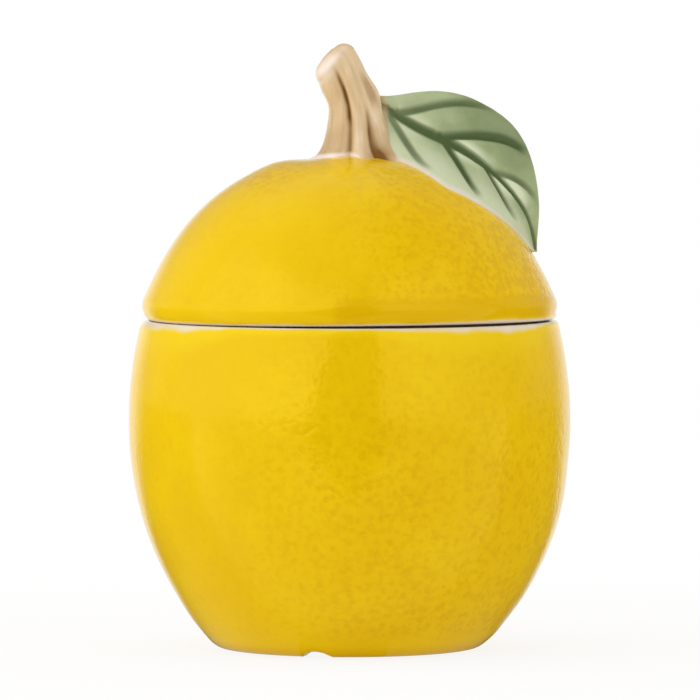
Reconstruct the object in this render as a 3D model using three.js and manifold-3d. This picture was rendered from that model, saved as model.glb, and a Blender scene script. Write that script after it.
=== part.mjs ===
// A fruit-shaped stoneware jar with a lift-off lid, in millimetres, +Z up.
// The origin is on the jar's axis, on the table that its foot ring stands on; the front looks along -Y.
import * as THREE from "three";
import { mergeVertices } from "three/addons/utils/BufferGeometryUtils.js";
import Module from "manifold-3d";

// Jar
const jarHeight = 81.5; // table to the flat top of the rim
const bellyRadius = 55;
const bellyHeight = 56.4; // height of the widest point
const rimInset = 3.25; // how far the rim's outer edge lies inside the belly
const footRadius = 33; // where the sides would reach the table
const jarWall = 4.5;
const rimRound = 1.1; // easing of the mouth's two edges
const floorThickness = 5;
const floorRound = 9; // easing between wall and floor, inside
const footRound = 1.8; // easing of the foot's outer edge
const footRingWidth = 3;
const footRecess = 2; // hollow of the underside, inside the ring
const notchWidth = 7.6; // drain notch through the ring
const notchHeight = 1.5;
const front = -90; // degrees from +X
const notchTurn = 14.3; // degrees from the front towards the left

// Lid
const seatGap = 0.3; // between the lid's seat and the rim
const lidOverhang = 0.3; // beyond the rim's outer edge
const lidRise = 41.1; // seat to crown
const lidEdge = 3.2; // seat to where the dome's curve would start
const lidSole = 2.4; // flat seat's limit, inside the widest radius
const lidSoleHold = 1.5; // how far the lower edge runs on level before it turns up
const lidHem = 0.012; // share of the dome's curve that the rounded lower edge takes up
const lidHemHold = 2.2; // how far below that it already follows the dome
const lidWall = 4.5;
const domeLean = 0.125; // how far the side leans in as it leaves the edge, as a share of the radius
const domeSwell = 0.414; // how high it holds that lean, as a share of the dome's height
const domeFlat = 0.655; // how far out the crown stays level, as a share of the radius
const flangeClearance = 0.9; // all round, inside the mouth
const flangeWall = 3.6;
const flangeDrop = 7;
const flangeRound = 1;
const pocketRound = 2; // easing behind the rim, inside

// Stem, measured from the crown
const stemRise = 22.8; // crown to the middle of the cut end
const stemSink = 4; // start of the stem's shape, inside the dome
const stemRadius = 6.4;
const stemFlare = 2.7; // extra radius at the crown
const stemFlareFade = 4.6; // height over which the flare dies away
const stemTaper = 0.7; // radius lost below the cut end
const stemTaperStart = 0.33; // where the stem begins to taper, as a share of its rise
const stemTaperEnd = 0.7;
const stemOffset = 1.4; // foot of the stem, right of the axis
const stemLean = 4.4; // how far the end leans to the left
const stemLeanStart = 5; // height where it begins to lean
const stemEndTilt = 42; // degrees of the cut end
const stemEndRound = 2.9;
const stemEndBulge = 0.35;
const stemEndCrown = 0.5; // where the cut end is highest, as a share of its radius
const fluteCount = 7;
const fluteDepth = 0.95;
const fluteRoot = 0.9; // extra depth at the flare
const fluteFade = 0.5; // share of the depth that is lost at the cut end
const fluteTurn = 259; // degrees from +X to one groove
const spurReach = 2.1; // ridge that stands out towards the leaf
const spurFoot = 1.5; // and its extra reach at the crown
const spurFootFade = 2.5; // height over which that dies away
const spurLow = 3; // where the ridge begins to sink back into the stem
const spurHigh = 13;
const spurTurn = -33; // degrees from +X
const spurSpread = 0.12; // narrowness round the stem
const budReach = 1.5; // swelling that the leaf grows from
const budHeight = 12.6;
const budSpan = 3.2; // above and below
const budTurn = -3;
const budSpread = 0.15;
const toeReach = 1.6; // slip drawn out over the crown, at the left
const toeFade = 0.6;
const toeTurn = 190;
const toeSpread = 0.25;
const lutingGap = 0.3; // slip joint between the stem, the leaf and the dome

// Leaf
const leafRootShare = 0.57; // height of the root on the stem, as a share of its rise
const leafRootOut = 0.75; // root from the stem's middle, as a share of its radius
const leafRootBack = 2; // root behind the stem's middle
const leafTipInset = 6.1; // tip inside the lid's widest radius
const leafTipHover = 2.45; // tip above the dome
const leafLaunch = 0.307; // how long the midrib holds its first direction, as a share of the span
const leafLaunchDrop = 28; // degrees below level
const leafLaunchForward = 33; // degrees towards the front
const leafLanding = 0.406; // how long it holds its last direction
const leafLandingDrop = 83.9;
const leafLandingBack = 27; // degrees towards the back
const leafUpperWidth = 14.6; // midrib to the free upper edge
const leafLowerWidth = 19; // midrib to the edge that is luted on the dome
const leafLobe = 17; // lower width beside the stem
const leafTaper = 1.73; // how finely the free edge runs out at both ends
const leafSkew = 1.06; // how far its fullest place lies towards the tip
const leafFullness = 2.4; // how late the luted edge closes in on the tip
const leafLeanRoot = 13.9; // degrees that the blade leans back at its root
const leafLean = 45; // and from the middle to the tip
const leafSlant = 0.189; // how far the lobe's edge is drawn towards the tip, as a share of the length
const leafSlantCurve = 1.3;
const leafSlantFade = 3;
const leafCup = 13; // degrees by which each half is turned up
const leafSettle = 0.516; // share of the length over which the blade settles into its lean
const leafMiddle = 3.4; // thickness at the midrib
const leafEdge = 1.4;
const leafRootWidth = 2;
const leafTipWidth = 0.6;
const leafThinStart = 0.8; // share of the length where it begins to thin towards the tip
const leafTipThin = 0.5; // thickness left at the tip, as a share
// each side vein as (share of the length, share of the half width): where it leaves the midrib,
// where it is drawn to, and where it ends
const veins = [
  [[0.16, 0], [0.3, 0.7], [0.47, 0.92]],
  [[0.38, 0], [0.53, 0.56], [0.65, 0.88]],
  [[0.62, 0], [0.7, 0.3], [0.81, 0.8]],
  [[0.1, 0], [0.22, -0.42], [0.34, -0.56]],
  [[0.32, 0], [0.52, -0.4], [0.62, -0.47]],
  [[0.56, 0], [0.69, -0.2], [0.82, -0.35]],
];
const veinRadius = 0.75;
const midribRadius = 0.95;
const veinLift = 0.15; // middle of a groove above the face

// Fineness
const roundSteps = 48; // round the jar and the lid
const flankSteps = 9; // up the jar's sides, to the belly
const shoulderSteps = 5; // and from there to the rim
const innerFlankSteps = 6;
const innerShoulderSteps = 3;
const domeSteps = 14;
const cornerSteps = 3;
const fluteSteps = 6; // round one flute
const stemSteps = 12;
const stemEndSteps = 6;
const leafSteps = 26;
const acrossSteps = 12;
const veinSides = 6;
const veinSteps = 9;
const midribSteps = 18;
const weld = 1e-4;
const tailShare = 0.4; // thickness of a groove's end, as a share of its start

// Colours
const jarColour = 0xe6bc1a;
const lidColour = 0xebc31c;
const stemColour = 0xbb996a;
const leafColour = 0x98a376;
const glossyRoughness = 0.22;
const satinRoughness = 0.5;

const wasm = await Module();
wasm.setup();

const rimRadius = bellyRadius - rimInset;
// Half heights of the ellipses that the jar's sides follow below and above the belly.
const flankRise = bellyHeight / Math.sqrt(1 - (footRadius / bellyRadius) ** 2);
const shoulderRise = (jarHeight - bellyHeight) / Math.sqrt(1 - (rimRadius / bellyRadius) ** 2);
const seatHeight = jarHeight + seatGap;
const edgeTop = seatHeight + lidEdge;
const crownHeight = seatHeight + lidRise;
const floorHeight = footRecess + floorThickness;

const at = (radius, height) => new THREE.Vector2(radius, height);
const rad = THREE.MathUtils.degToRad;
const blend = THREE.MathUtils.lerp;
const ease = THREE.MathUtils.smoothstep;

// A rounded corner between two points of an outline.
function corner(from, tip, to) {
  return new THREE.QuadraticBezierCurve(from, tip, to).getPoints(cornerSteps);
}

// Both half axes of the ellipse above or below the belly; a wall's inner face lies at the wall's depth.
function sideEllipse(depth, above) {
  return at(bellyRadius - depth, (above ? shoulderRise : flankRise) - depth);
}

function sideRadius(depth, height) {
  const ellipse = sideEllipse(depth, height > bellyHeight);
  return ellipse.x * Math.sqrt(1 - ((height - bellyHeight) / ellipse.y) ** 2);
}

// A stretch of the sides that lies below the belly or above it.
function sideRun(depth, fromHeight, toHeight, steps) {
  const ellipse = sideEllipse(depth, Math.max(fromHeight, toHeight) > bellyHeight);
  const angle = (height) => Math.asin((height - bellyHeight) / ellipse.y);
  const clockwise = fromHeight > toHeight;
  const start = angle(fromHeight);
  const end = angle(toHeight);
  return new THREE.EllipseCurve(0, bellyHeight, ellipse.x, ellipse.y, start, end, clockwise).getPoints(steps);
}

const mouthRadius = sideRadius(jarWall, jarHeight);
const lidRadius = rimRadius + lidOverhang;
const flangeOuter = mouthRadius - flangeClearance;
const flangeInner = flangeOuter - flangeWall;
const flangeBottom = seatHeight - flangeDrop;

// A solid of revolution about the Z axis.
function turned(outline) {
  const clean = outline.filter((p, i) => i === 0 || p.distanceTo(outline[i - 1]) > weld);
  return new THREE.LatheGeometry(clean, roundSteps).rotateX(Math.PI / 2);
}

// A closed body through rings of points, each ring counter-clockwise about the way it runs.
function loft(rings) {
  const around = rings[0].length;
  const points = rings.flat();
  const first = points.length;
  const centre = (ring) => ring.reduce((sum, p) => sum.add(p), new THREE.Vector3()).divideScalar(around);
  points.push(centre(rings[0]), centre(rings[rings.length - 1]));
  const faces = [];
  const last = (rings.length - 1) * around;
  for (let j = 0; j < around; j++) {
    const k = (j + 1) % around;
    for (let i = 0; i < last; i += around) {
      faces.push(i + j, i + k, i + around + k, i + j, i + around + k, i + around + j);
    }
    faces.push(first, k, j, first + 1, last + j, last + k);
  }
  return new THREE.BufferGeometry().setFromPoints(points).setIndex(faces);
}

function solidOf(geometry) {
  geometry.deleteAttribute("normal");
  geometry.deleteAttribute("uv");
  const merged = mergeVertices(geometry, weld);
  const vertProperties = merged.attributes.position.array;
  const triVerts = new Uint32Array(merged.index.array);
  return new wasm.Manifold(new wasm.Mesh({ numProp: 3, vertProperties, triVerts }));
}

function geometryOf(solid) {
  const mesh = solid.getMesh();
  const made = new THREE.BufferGeometry();
  made.setAttribute("position", new THREE.BufferAttribute(mesh.vertProperties, 3));
  return made.setIndex(new THREE.BufferAttribute(mesh.triVerts, 1));
}

// Jar: foot ring, flank, rounded rim, inside wall and floor.
function jarBody() {
  const ringOuter = footRadius - footRound;
  const ringInner = ringOuter - footRingWidth;
  const floorEdge = sideRadius(jarWall, floorHeight);
  const outline = [
    at(0, footRecess),
    ...corner(at(ringInner - footRecess, footRecess), at(ringInner, footRecess), at(ringInner, 0)),
    ...corner(at(ringOuter, 0), at(footRadius, 0), at(sideRadius(0, footRound), footRound)),
    ...sideRun(0, footRound, bellyHeight, flankSteps),
    ...sideRun(0, bellyHeight, jarHeight - rimRound, shoulderSteps),
    ...corner(
      at(sideRadius(0, jarHeight - rimRound), jarHeight - rimRound),
      at(rimRadius, jarHeight),
      at(rimRadius - rimRound, jarHeight),
    ),
    ...corner(
      at(mouthRadius + rimRound, jarHeight),
      at(mouthRadius, jarHeight),
      at(sideRadius(jarWall, jarHeight - rimRound), jarHeight - rimRound),
    ),
    ...sideRun(jarWall, jarHeight - rimRound, bellyHeight, innerShoulderSteps),
    ...sideRun(jarWall, bellyHeight, floorHeight + floorRound, innerFlankSteps),
    ...corner(
      at(sideRadius(jarWall, floorHeight + floorRound), floorHeight + floorRound),
      at(floorEdge, floorHeight),
      at(floorEdge - floorRound, floorHeight),
    ),
    at(0, floorHeight),
  ];
  // The notch is a round-topped channel that crosses the ring at one place.
  const bore = (notchWidth ** 2 / 4 + notchHeight ** 2) / (2 * notchHeight);
  const length = 2 * (footRadius + footRound - ringInner);
  const notch = new THREE.CylinderGeometry(bore, bore, length, roundSteps);
  notch.rotateZ(Math.PI / 2);
  notch.translate(ringInner + length / 2 - footRecess, 0, notchHeight - bore);
  notch.rotateZ(rad(front - notchTurn));
  return geometryOf(solidOf(turned(outline)).subtract(solidOf(notch)));
}

// The dome's outer curve, from above its seat to the crown.
const domeCurve = new THREE.CubicBezierCurve(
  at(lidRadius, edgeTop),
  at(lidRadius * (1 - domeLean), blend(edgeTop, crownHeight, domeSwell)),
  at(lidRadius * domeFlat, crownHeight),
  at(0, crownHeight),
);

// Points of the dome's curve, moved out along its normal.
function domeRun(offset, steps) {
  const points = [];
  for (let i = 0; i <= steps; i++) {
    const tangent = domeCurve.getTangent(i / steps);
    const point = domeCurve.getPoint(i / steps);
    points.push(at(Math.max(0, point.x + tangent.y * offset), point.y - tangent.x * offset));
  }
  return points;
}

// Height of the dome's outer face at a radius.
function domeHeight(radius) {
  let low = 0;
  let high = 1;
  while (high - low > weld) {
    const middle = (low + high) / 2;
    if (domeCurve.getPoint(middle).x > radius) low = middle;
    else high = middle;
  }
  return domeCurve.getPoint(low).y;
}

// Lid: hollow dome, pocket behind the rim, locating flange, flat seat and lower edge that rolls into the dome.
function lidDome() {
  const ledge = seatHeight + lidWall;
  const hollow = domeRun(-lidWall, domeSteps).filter((p) => p.y > ledge + pocketRound);
  const pocket = hollow[0];
  const hemTop = domeCurve.getPoint(lidHem);
  const hem = new THREE.CubicBezierCurve(
    at(lidRadius - lidSole, seatHeight),
    at(lidRadius - lidSole + lidSoleHold, seatHeight),
    hemTop.clone().addScaledVector(domeCurve.getTangent(lidHem), -lidHemHold),
    hemTop,
  );
  const outline = [
    ...hollow.toReversed(),
    ...corner(pocket, at(pocket.x, ledge), at(pocket.x - pocketRound, ledge)),
    ...corner(
      at(flangeInner + flangeRound, ledge),
      at(flangeInner, ledge),
      at(flangeInner, ledge - flangeRound),
    ),
    ...corner(
      at(flangeInner, flangeBottom + flangeRound),
      at(flangeInner, flangeBottom),
      at(flangeInner + flangeRound, flangeBottom),
    ),
    ...corner(
      at(flangeOuter - flangeRound, flangeBottom),
      at(flangeOuter, flangeBottom),
      at(flangeOuter, flangeBottom + flangeRound),
    ),
    at(flangeOuter, seatHeight),
    ...hem.getPoints(2 * cornerSteps),
    ...domeRun(0, domeSteps).filter((p) => p.y > hemTop.y),
  ];
  return turned(outline);
}

// The dome as a full block, grown by the luting gap, that trims whatever is luted on it.
function domeBlock() {
  const outline = [
    at(0, seatHeight),
    at(lidRadius + lutingGap, seatHeight),
    ...domeRun(lutingGap, domeSteps),
  ];
  return solidOf(turned(outline));
}

// Sideways place and tilt of the stem at a height above the crown.
function stemLeanAt(height) {
  const share = Math.max(0, (height - stemLeanStart) / (stemRise - stemLeanStart));
  return { shift: stemOffset - stemLean * share ** 2, tilt: rad(stemEndTilt) * share };
}

// How much of a ridge on one side of the stem is felt at an angle.
function ridgeAt(angle, turn, spread) {
  return Math.exp(-(((Math.cos(angle - rad(turn)) - 1) / spread) ** 2));
}

// One ring of the stem: fluted, tilted with the lean, drawn in and raised along its own axis.
function stemRing(height, grow, drawIn, raise) {
  const { shift, tilt } = stemLeanAt(height);
  const flare = Math.exp(-Math.max(height, -stemFlareFade) / stemFlareFade);
  const taper = stemTaper * ease(height, stemRise * stemTaperStart, stemRise * stemTaperEnd);
  const radius = stemRadius + stemFlare * flare - taper + grow;
  const above = Math.max(0, height);
  const spur = spurReach * (1 - ease(height, spurLow, spurHigh)) + spurFoot * Math.exp(-above / spurFootFade);
  const bud = budReach * Math.exp(-(((height - budHeight) / budSpan) ** 2));
  const toe = toeReach * Math.exp(-above / toeFade);
  const fade = fluteFade * ease(height, stemRise * stemTaperStart, stemRise);
  const depth = (fluteDepth + fluteRoot * flare) * (1 - fade);
  const count = fluteCount * fluteSteps;
  const ring = [];
  for (let j = 0; j < count; j++) {
    const groove = 1 - Math.abs(Math.sin((Math.PI * j) / fluteSteps));
    const angle = rad(fluteTurn) + (2 * Math.PI * j) / count;
    const swelling =
      spur * ridgeAt(angle, spurTurn, spurSpread) +
      bud * ridgeAt(angle, budTurn, budSpread) +
      toe * ridgeAt(angle, toeTurn, toeSpread);
    const reach = (radius - depth * groove + swelling) * drawIn;
    const along = reach * Math.cos(angle);
    ring.push(
      new THREE.Vector3(
        shift + along * Math.cos(tilt) - raise * Math.sin(tilt),
        reach * Math.sin(angle),
        crownHeight + height + along * Math.sin(tilt) + raise * Math.cos(tilt),
      ),
    );
  }
  return ring;
}

// The stem's rings from inside the dome to the eased edge and slight bulge of its cut end.
function stemShape(grow) {
  const rings = [];
  for (let i = 0; i <= stemSteps; i++) {
    rings.push(stemRing(blend(-stemSink, stemRise, i / stemSteps), grow, 1, 0));
  }
  const endRadius = stemRadius - stemTaper;
  for (let i = 1; i <= stemEndSteps; i++) {
    const turn = (Math.PI / 2) * (i / stemEndSteps);
    const drawIn = 1 - (stemEndRound * (1 - Math.cos(turn))) / endRadius;
    rings.push(stemRing(stemRise, grow, drawIn, stemEndRound * Math.sin(turn) + grow));
  }
  rings.push(stemRing(stemRise, grow, stemEndCrown, stemEndRound + stemEndBulge + grow));
  return solidOf(loft(rings));
}

// The leaf's midrib, from inside the stem out over the dome to the tip.
function midrib() {
  const rootRise = stemRise * leafRootShare;
  const rootOut = stemLeanAt(rootRise).shift + stemRadius * leafRootOut;
  const root = new THREE.Vector3(rootOut, leafRootBack, crownHeight + rootRise);
  const tipReach = lidRadius - leafTipInset;
  const tip = new THREE.Vector3(tipReach, 0, domeHeight(tipReach) + leafTipHover);
  const span = root.distanceTo(tip);
  const heading = (drop, forward, length) =>
    new THREE.Vector3(
      Math.cos(rad(drop)) * Math.cos(rad(forward)),
      -Math.sin(rad(forward)),
      -Math.sin(rad(drop)) * Math.cos(rad(forward)),
    ).multiplyScalar(length);
  return new THREE.CubicBezierCurve3(
    root,
    root.clone().add(heading(leafLaunchDrop, leafLaunchForward, span * leafLaunch)),
    tip.clone().sub(heading(leafLandingDrop, -leafLandingBack, span * leafLanding)),
    tip,
  );
}

const leafSpine = midrib();
const upward = new THREE.Vector3(0, 0, 1);
const backward = new THREE.Vector3(0, 1, 0);

// Half widths of the blade at a share of its length: the free edge is pointed at both ends,
// the luted edge starts as a lobe beside the stem.
function upperWidth(share) {
  const least = blend(leafRootWidth, leafTipWidth, share);
  return least + leafUpperWidth * Math.sin(Math.PI * share ** leafSkew) ** leafTaper;
}

function lowerWidth(share) {
  const body = blend(leafLobe, leafLowerWidth, ease(share, 0, 1 / 2));
  const taper = Math.max(0, 2 * share - 1);
  return leafTipWidth + body * (1 - taper ** leafFullness);
}

// A place on the blade: share runs from root to tip, side from the luted edge (-1) to the free edge (1).
// The blade bends evenly across, so each half is an arc in the plane of the rib's upright and the back.
function bladePlace(drawnShare, side) {
  const slant = leafSlant * Math.max(0, -side) ** leafSlantCurve;
  const share = Math.min(1, drawnShare + slant * (1 - drawnShare) ** leafSlantFade);
  const along = leafSpine.getTangent(share);
  const square = new THREE.Vector3(-along.z, 0, along.x).normalize();
  const settled = Math.min(1, share / leafSettle);
  const rise = upward.clone().lerp(square, settled).normalize();
  const width = side > 0 ? upperWidth(share) : lowerWidth(share);
  const lean = rad(blend(leafLeanRoot, leafLean, ease(share, 0, leafSettle)));
  const cup = rad(leafCup);
  const turn = lean - cup * side;
  const up = (width * (Math.sin(lean) - Math.sin(turn))) / cup;
  const back = (width * (Math.cos(turn) - Math.cos(lean))) / cup;
  const place = leafSpine.getPoint(share).addScaledVector(rise, up).addScaledVector(backward, back);
  const face = rise.clone().multiplyScalar(Math.sin(turn)).addScaledVector(backward, -Math.cos(turn));
  const half = blend(leafEdge, leafMiddle, Math.sqrt(1 - side ** 2)) / 2;
  return { place, face, half: half * blend(1, leafTipThin, ease(share, leafThinStart, 1)) };
}

// A groove's tool: a round bar that follows a line on the blade's face and thins towards its end.
function grooveTool(line, radius, steps) {
  const rings = [];
  for (let i = 0; i <= steps; i++) {
    const here = line(i / steps);
    const next = line(Math.min(1, (i + 1) / steps));
    const before = line(Math.max(0, (i - 1) / steps));
    const run = next.centre.clone().sub(before.centre).normalize();
    const out = here.face.clone().addScaledVector(run, -here.face.dot(run)).normalize();
    const sideways = new THREE.Vector3().crossVectors(run, out);
    const size = radius * blend(1, tailShare, i / steps);
    const ring = [];
    for (let j = 0; j < veinSides; j++) {
      const angle = (2 * Math.PI * j) / veinSides;
      const point = here.centre.clone().addScaledVector(out, size * Math.cos(angle));
      ring.push(point.addScaledVector(sideways, size * Math.sin(angle)));
    }
    rings.push(ring);
  }
  return solidOf(loft(rings));
}

function onFace(share, side) {
  const { place, face, half } = bladePlace(share, side);
  return { centre: place.addScaledVector(face, half + veinLift), face };
}

function leafBlade() {
  const rings = [];
  for (let i = 0; i <= leafSteps; i++) {
    const upperFace = [];
    const lowerFace = [];
    for (let j = 0; j <= acrossSteps; j++) {
      const side = 1 - (2 * j) / acrossSteps;
      const { place, face, half } = bladePlace(i / leafSteps, side);
      upperFace.push(place.clone().addScaledVector(face, half));
      lowerFace.unshift(place.clone().addScaledVector(face, -half));
    }
    rings.push([...upperFace, ...lowerFace]);
  }
  let blade = solidOf(loft(rings));
  blade = blade.subtract(grooveTool((share) => onFace(share, 0), midribRadius, midribSteps));
  for (const [start, pull, end] of veins) {
    const path = new THREE.QuadraticBezierCurve(at(...start), at(...pull), at(...end));
    const line = (share) => onFace(path.getPoint(share).x, path.getPoint(share).y);
    blade = blade.subtract(grooveTool(line, veinRadius, veinSteps));
  }
  return blade;
}

const dome = domeBlock();
const stem = stemShape(0).subtract(dome);
const leaf = leafBlade().subtract(dome).subtract(stemShape(lutingGap));

const group = new THREE.Group();
group.name = "fruit_jar";

function addPiece(name, geometry, colour, roughness) {
  geometry.computeVertexNormals();
  const material = new THREE.MeshStandardMaterial({ color: colour, roughness, metalness: 0 });
  const mesh = new THREE.Mesh(geometry, material);
  mesh.name = name;
  group.add(mesh);
}

addPiece("jar_body", jarBody(), jarColour, glossyRoughness);
addPiece("lid_dome", lidDome(), lidColour, glossyRoughness);
addPiece("stem", geometryOf(stem), stemColour, satinRoughness);
addPiece("leaf", geometryOf(leaf), leafColour, satinRoughness);

export default group;
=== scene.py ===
import math

import bpy
import numpy as np
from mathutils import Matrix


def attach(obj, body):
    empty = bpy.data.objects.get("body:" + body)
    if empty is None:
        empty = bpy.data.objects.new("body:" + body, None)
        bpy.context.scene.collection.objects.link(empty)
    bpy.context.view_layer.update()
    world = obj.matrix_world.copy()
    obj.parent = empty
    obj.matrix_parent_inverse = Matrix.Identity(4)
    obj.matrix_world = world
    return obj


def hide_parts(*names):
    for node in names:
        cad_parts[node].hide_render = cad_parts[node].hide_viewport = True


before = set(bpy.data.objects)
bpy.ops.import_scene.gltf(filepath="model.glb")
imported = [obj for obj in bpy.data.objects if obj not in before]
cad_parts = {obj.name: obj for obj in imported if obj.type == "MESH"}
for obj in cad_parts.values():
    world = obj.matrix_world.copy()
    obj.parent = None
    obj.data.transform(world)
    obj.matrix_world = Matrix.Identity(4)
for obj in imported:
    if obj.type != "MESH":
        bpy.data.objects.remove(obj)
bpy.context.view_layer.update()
scene = bpy.context.scene
scene.view_settings.view_transform = "Standard"
mm = 0.001  # shapes below are written in millimetres
print("frame loaded:", sorted(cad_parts))


# small helpers

def tint(red, green, blue):
    # screen colour (0 to 255) to the linear colour that sockets take
    def linear(c):
        c = c / 255
        return c / 12.92 if c <= 0.04045 else ((c + 0.055) / 1.055) ** 2.4
    return (linear(red), linear(green), linear(blue), 1.0)


def ease(x, low, high):
    t = np.clip((np.asarray(x, float) - low) / (high - low), 0, 1)
    return t * t * (3 - 2 * t)


def bump(x, centre, width):
    return np.exp(-((np.asarray(x, float) - centre) / width) ** 2)


def toward(angle, turn):
    # cosine of how far a point round the axis lies from a turn in degrees
    return np.cos(angle - math.radians(turn))


def facing(angle, turn, width):
    # 1 where a point round the axis faces a turn, falling off to both sides
    return bump(toward(angle, turn), 1, width)


def corner(start, tip, end, steps):
    t = np.linspace(0, 1, steps + 1)[:, None]
    start, tip, end = (np.array(q, float) for q in (start, tip, end))
    return (1 - t) ** 2 * start + 2 * t * (1 - t) * tip + t ** 2 * end


def bend(t, points):
    # place and direction on a curve from the first point to the last, drawn out by the two between
    a, b, c, d = (np.array(q, float) for q in points)
    spot = (1 - t) ** 3 * a + 3 * (1 - t) ** 2 * t * b + 3 * (1 - t) * t ** 2 * c + t ** 3 * d
    run = 3 * (1 - t) ** 2 * (b - a) + 6 * (1 - t) * t * (c - b) + 3 * t ** 2 * (d - c)
    return spot, run


def evenRows(points, spacing):
    points = np.asarray(points, float)
    along = np.r_[0, np.cumsum(np.linalg.norm(np.diff(points, axis=0), axis=1))]
    count = max(2, int(round(along[-1] / spacing)) + 1)
    wanted = np.linspace(0, along[-1], count)
    return np.stack([np.interp(wanted, along, points[:, k]) for k in range(points.shape[1])], 1)


def softNoise(x, y, z, seed=0):
    # smooth repeatable wobble between -1 and 1, from a few crossed waves
    total = 0
    for k in range(5):
        a, b, c = (math.sin(seed * 1.7 + k * 2.399 + q * 1.931) for q in range(3))
        total = total + np.sin((a * x + b * y + c * z) * (1 + 0.37 * k) + 5.1 * math.cos(seed + 3.3 * k))
    return total / 5


def tubePiece(name, grid, ends, values):
    # joins rings of points, in millimetres, and closes them on a point at either end;
    # a value is a pair: a number per point of the rings, and the two numbers for the ends
    count, around = grid.shape[:2]
    j = np.arange(around)
    k = (j + 1) % around
    ring = np.arange(count - 1)[:, None] * around
    quads = np.stack([ring + j, ring + k, ring + around + k, ring + around + j], -1).reshape(-1, 4)
    top, low = ring[-1] + around, np.full(around, count * around)
    fans = np.concatenate([np.stack([low, k, j], -1), np.stack([top + j, top + k, low + 1], -1)])
    mesh = bpy.data.meshes.new(name)
    points = np.concatenate([grid.reshape(-1, 3), ends]) * mm
    mesh.from_pydata(points.tolist(), [], quads.tolist() + fans.tolist())
    mesh.shade_smooth()
    for key, (column, end) in values.items():
        layer = mesh.attributes.new(key, "FLOAT", "POINT")
        layer.data.foreach_set("value", np.r_[column.ravel(), end].astype(np.float32))
    piece = bpy.data.objects.new(name, mesh)
    scene.collection.objects.link(piece)
    print(name + ":", len(mesh.polygons), "faces")
    return piece


def turnedPiece(name, rows, around, values, reshape):
    # spins rows of (radius, height) that start and end on the axis
    angle = np.linspace(0, 2 * np.pi, around, endpoint=False)
    ring = rows[1:-1]
    grid = np.stack([
        ring[:, :1] * np.cos(angle), ring[:, :1] * np.sin(angle), np.repeat(ring[:, 1:2], around, 1)], -1)
    grid, extra = reshape(grid, angle)
    columns = {}
    for key, column in values.items():
        body = np.repeat(column[1:-1, None], around, 1)
        columns[key] = extra[key](body) if key in extra else body, column[[0, -1]]
    return tubePiece(name, grid, [(0, 0, rows[0, 1]), (0, 0, rows[-1, 1])], columns)


def formedPiece(name, grid, values, glaze):
    # rings that close on their own middles
    piece = tubePiece(name, grid, [grid[0].mean(0), grid[-1].mean(0)], values)
    piece.data.materials.append(glaze)
    return piece


# node helpers

def place(tree, kind, settings=None, inputs=None):
    made = tree.nodes.new(kind)
    for key, value in (settings or {}).items():
        setattr(made, key, value)
    for key, value in (inputs or {}).items():
        if isinstance(value, bpy.types.NodeSocket):
            tree.links.new(value, made.inputs[key])
        else:
            made.inputs[key].default_value = value
    return made


def sums(tree, how, first, second=0.0, clamp=False):
    made = place(tree, "ShaderNodeMath", {"operation": how, "use_clamp": clamp}, {0: first, 1: second})
    return made.outputs[0]


def times(tree, first, second):
    return sums(tree, "MULTIPLY", first, second)


def vectors(tree, how, inputs):
    return place(tree, "ShaderNodeVectorMath", {"operation": how}, inputs).outputs


def mixed(tree, share, first, second):
    return place(tree, "ShaderNodeMix", {"data_type": "RGBA"}, {0: share, 6: first, 7: second}).outputs[2]


def mixedValue(tree, share, first, second):
    return place(tree, "ShaderNodeMix", {"data_type": "FLOAT"}, {0: share, 2: first, 3: second}).outputs[0]


def noise(tree, where, size, detail, roughness=0.5):
    made = place(tree, "ShaderNodeTexNoise", None, {"Scale": size, "Detail": detail, "Roughness": roughness})
    if where is not None:
        tree.links.new(where, made.inputs["Vector"])
    return made.outputs["Fac"]


def ranged(tree, value, low, high, toLow=0.0, toHigh=1.0, how="SMOOTHSTEP"):
    made = place(tree, "ShaderNodeMapRange", {"interpolation_type": how}, {
        "Value": value, "From Min": low, "From Max": high, "To Min": toLow, "To Max": toHigh})
    return made.outputs[0]


def startGroup(name, kind, inputs, outputs):
    tree = bpy.data.node_groups.new(name, kind)
    for label, form, value in inputs:
        socket = tree.interface.new_socket(label, in_out="INPUT", socket_type="NodeSocket" + form)
        if value is not None:
            socket.default_value = value
    for label, form in outputs:
        tree.interface.new_socket(label, in_out="OUTPUT", socket_type="NodeSocket" + form)
    return tree, tree.nodes.new("NodeGroupInput").outputs, tree.nodes.new("NodeGroupOutput").inputs


def useGroup(tree, group, inputs):
    return place(tree, "ShaderNodeGroup", {"node_tree": group}, inputs).outputs


# shader groups that several glazes share

def makeMottle():
    # cloudy colour of a fired glaze, with a fine ripple for bump
    tree, given, out = startGroup("glazeMottle", "ShaderNodeTree", [
        ("Vector", "Vector", None), ("Light", "Color", (1, 1, 1, 1)), ("Deep", "Color", (0.5, 0.5, 0.5, 1)),
        ("Cloud Size", "Float", 60.0), ("Grain Size", "Float", 900.0), ("Grain", "Float", 0.15)],
        [("Colour", "Color"), ("Height", "Float"), ("Cloud", "Float")])
    cloud = ranged(tree, noise(tree, given["Vector"], given["Cloud Size"], 3.0, 0.55), 0.3, 0.7)
    ripple = noise(tree, given["Vector"], given["Grain Size"], 2.0, 0.6)
    grain = times(tree, sums(tree, "SUBTRACT", ripple, 0.5), given["Grain"])
    share = sums(tree, "ADD", cloud, grain, True)
    tree.links.new(mixed(tree, share, given["Light"], given["Deep"]), out["Colour"])
    tree.links.new(ripple, out["Height"])
    tree.links.new(cloud, out["Cloud"])
    return tree


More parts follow.
